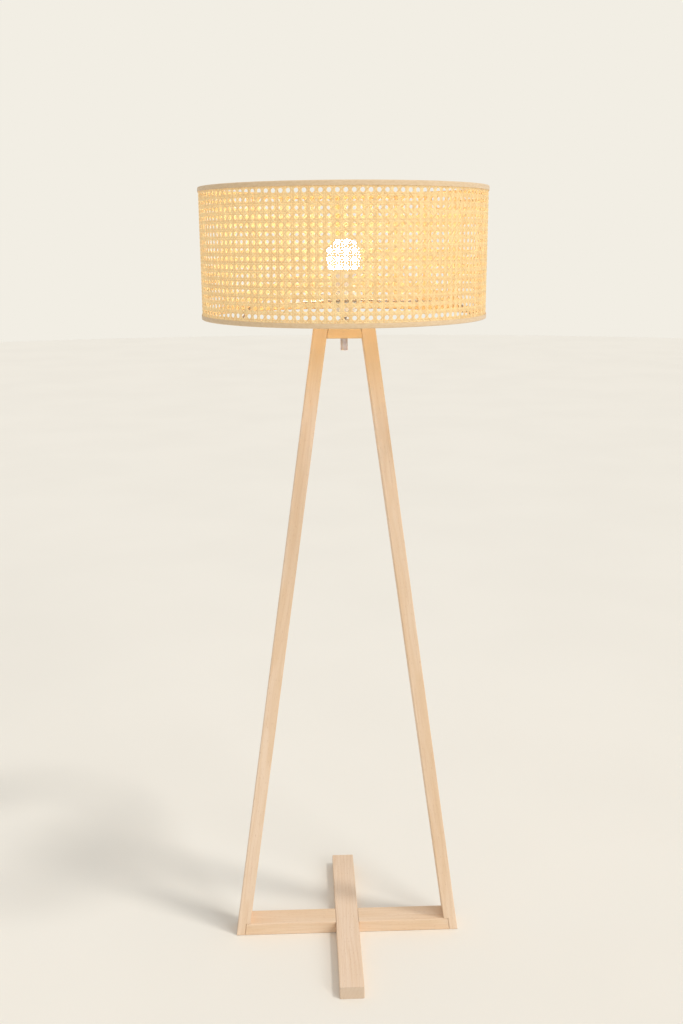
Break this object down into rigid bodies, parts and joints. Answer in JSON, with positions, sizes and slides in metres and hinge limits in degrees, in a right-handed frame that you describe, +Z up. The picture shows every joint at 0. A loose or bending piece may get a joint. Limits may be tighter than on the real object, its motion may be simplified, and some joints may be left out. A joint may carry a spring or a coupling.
{
  "type": "floor lamp",
  "caption": "Floor lamp with a drum shade of open cane webbing around a screw-in bulb, carried by canted timber legs on a half-lapped cross base.",
  "frame": {"origin": "on the floor in the middle of the cross base, at the bottom centre of the lamp's box", "axes": "+Z up along the lamp's axis, X along the left-right base bar that houses the legs, -Y towards the front"},
  "size_m": [0.5, 0.5, 1.4563],
  "materials": {
    "timber": "satin",
    "dowel": "matte",
    "cane": "satin",
    "tape": "matte",
    "steel": "satin",
    "brass": "satin",
    "nickel": "satin",
    "wire_enamel": "satin",
    "holder_plastic": "satin",
    "nylon": "satin",
    "steatite": "matte",
    "bulb_plastic": "satin",
    "vitrite": "gloss",
    "circuit_board": "satin",
    "opal": "satin"
  },
  "bodies": {
    "stand": {"left_leg": "timber", "right_leg": "timber", "top_crossbar": "timber", "base_bar_left_right": "timber", "base_bar_front_back": "timber", "foot_dowel_left_front": "dowel", "foot_dowel_left_back": "dowel", "foot_dowel_right_front": "dowel", "foot_dowel_right_back": "dowel", "head_dowel_left_front": "dowel", "head_dowel_left_back": "dowel", "head_dowel_right_front": "dowel", "head_dowel_right_back": "dowel", "lap_screw": "steel", "threaded_tube": "steel", "tube_washer": "steel", "tube_nut": "steel", "cord_grip_body": "nylon", "cord_grip_screw": "nylon", "holder_cap": "holder_plastic", "holder_lock_screw": "steel", "holder_body": "holder_plastic", "holder_insert": "steatite", "centre_contact": "brass", "screw_shell": "brass", "terminal_screw_live": "brass", "terminal_screw_neutral": "brass"},
    "ring_nut": {"ring_nut": "holder_plastic"},
    "shade": {"spider_hub_ring": "wire_enamel", "spider_arm_right": "wire_enamel", "spider_arm_back": "wire_enamel", "spider_arm_left": "wire_enamel", "bottom_hoop_wire": "wire_enamel", "top_hoop_wire": "wire_enamel", "cane_skin": "cane", "bottom_trim": "tape", "top_trim": "tape", "seam_tape": "tape"},
    "bulb_tip": {"bulb_tip_contact": "brass"},
    "bulb": {"bulb_insulator": "vitrite", "bulb_cap": "nickel", "bulb_neck_housing": "bulb_plastic", "bulb_led_board": "circuit_board", "bulb_dome": "opal"}
  },
  "joints": [
    {"name": "shade_swivel", "type": "hinge", "parent": "stand", "child": "shade", "pos_m": [0, 0, 1.2652], "axis": [0, 0, 1], "continuous": true},
    {"name": "ring_nut_turn", "type": "hinge", "parent": "stand", "child": "ring_nut", "pos_m": [0, 0, 1.2704], "axis": [0, 0, 1], "range_deg": [0, 720]},
    {"name": "bulb_lift", "type": "slide", "parent": "stand", "child": "bulb_tip", "axis": [0, 0, 1], "range_m": [0, 0.0182]},
    {"name": "bulb_turn", "type": "hinge", "parent": "bulb_tip", "child": "bulb", "pos_m": [0, 0, 1.262], "axis": [0, 0, 1], "range_deg": [0, 1800]}
  ],
  "couplings": [
    {"joint": "bulb_lift", "follows": "bulb_turn", "m_per_rad": 0.00057757}
  ]
}
